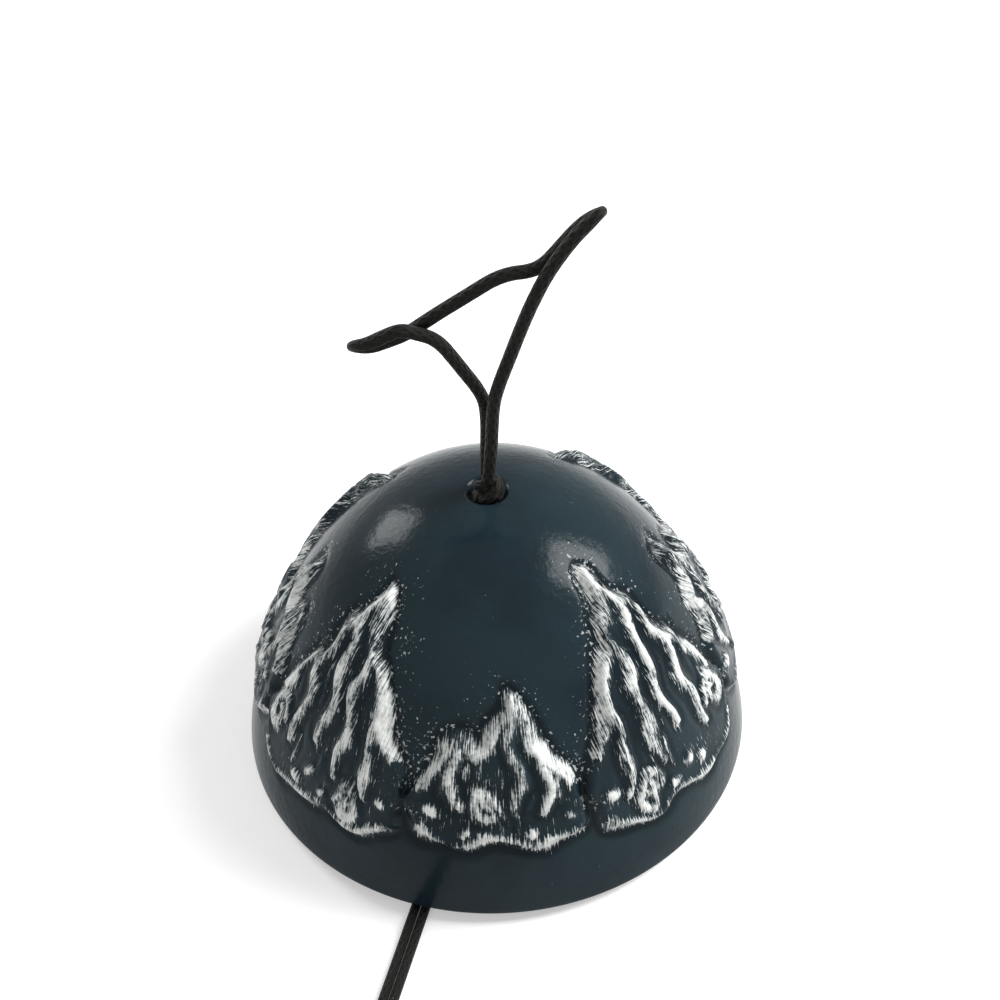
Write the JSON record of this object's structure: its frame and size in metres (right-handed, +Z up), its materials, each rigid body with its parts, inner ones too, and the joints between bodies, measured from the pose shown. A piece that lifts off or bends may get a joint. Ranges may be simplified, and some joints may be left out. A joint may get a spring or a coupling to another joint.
{
  "type": "furin wind bell",
  "caption": "Cast-iron dome wind bell with a raised, white-brushed band, a kinked black cord loop in its crown, a disc clapper inside and a paper wind strip on its cord.",
  "frame": {"origin": "on the table, under the middle of the bell's lip", "axes": "+Z up; -Y towards the viewer of the picture, where the lower cord comes out; +X to that viewer's right"},
  "size_m": [0.1035, 0.2475, 0.0852],
  "materials": {
    "lacquered_iron": "satin navy lacquer with white brushed over the raised band",
    "bare_iron": "dark oxide, slightly rough",
    "black_cord": "waxed braided cord",
    "washi_paper": "thick fibrous paper"
  },
  "bodies": {
    "bell": {"bell_shell": "lacquered_iron", "bell_relief": "lacquered_iron", "crown_cord": "black_cord", "strip_cord_left": "black_cord", "strip_cord_right": "black_cord"},
    "crown_knot": {"crown_knot": "black_cord"},
    "hanging_loop": {"hanging_loop": "black_cord"},
    "clapper_hanger": {"inner_knot": "black_cord", "strip_drop_left": "black_cord", "strip_drop_right": "black_cord"},
    "clapper": {"clapper_cord": "black_cord", "clapper": "bare_iron", "clapper_knot": "black_cord"},
    "strip_knot": {"strip_knot": "black_cord"},
    "wind_strip": {"strip_loop": "black_cord", "wind_strip": "washi_paper"}
  },
  "joints": [
    {"name": "loop_tilt_fore", "type": "hinge", "parent": "bell", "child": "crown_knot", "pos_m": [0.00033, 0.00088, 0.0447], "axis": [1, 0, 0], "range_deg": [-25, 25], "stiffness_Nm_per_rad": 0.002},
    {"name": "loop_tilt_side", "type": "hinge", "parent": "crown_knot", "child": "hanging_loop", "pos_m": [0.00033, 0.00088, 0.0447], "axis": [0, 1, 0], "range_deg": [-25, 25], "stiffness_Nm_per_rad": 0.002},
    {"name": "clapper_turn", "type": "hinge", "parent": "bell", "child": "clapper_hanger", "pos_m": [0.00028, 0.00073, 0.0371], "axis": [0, 0, 1], "continuous": true},
    {"name": "clapper_swing", "type": "hinge", "parent": "clapper_hanger", "child": "clapper", "pos_m": [0.00028, 0.00073, 0.0371], "axis": [1, 0, 0], "range_deg": [-24, 24], "deforming": ["strip_drop_left", "strip_drop_right"]},
    {"name": "strip_turn", "type": "hinge", "parent": "bell", "child": "strip_knot", "pos_m": [-0.0254, -0.078, 0.0022], "axis": [0, 0, 1], "range_deg": [-40, 40]},
    {"name": "strip_lift", "type": "hinge", "parent": "strip_knot", "child": "wind_strip", "pos_m": [-0.0254, -0.078, 0.0022], "axis": [-0.9877, 0.1564, 0], "range_deg": [0, 85]}
  ]
}
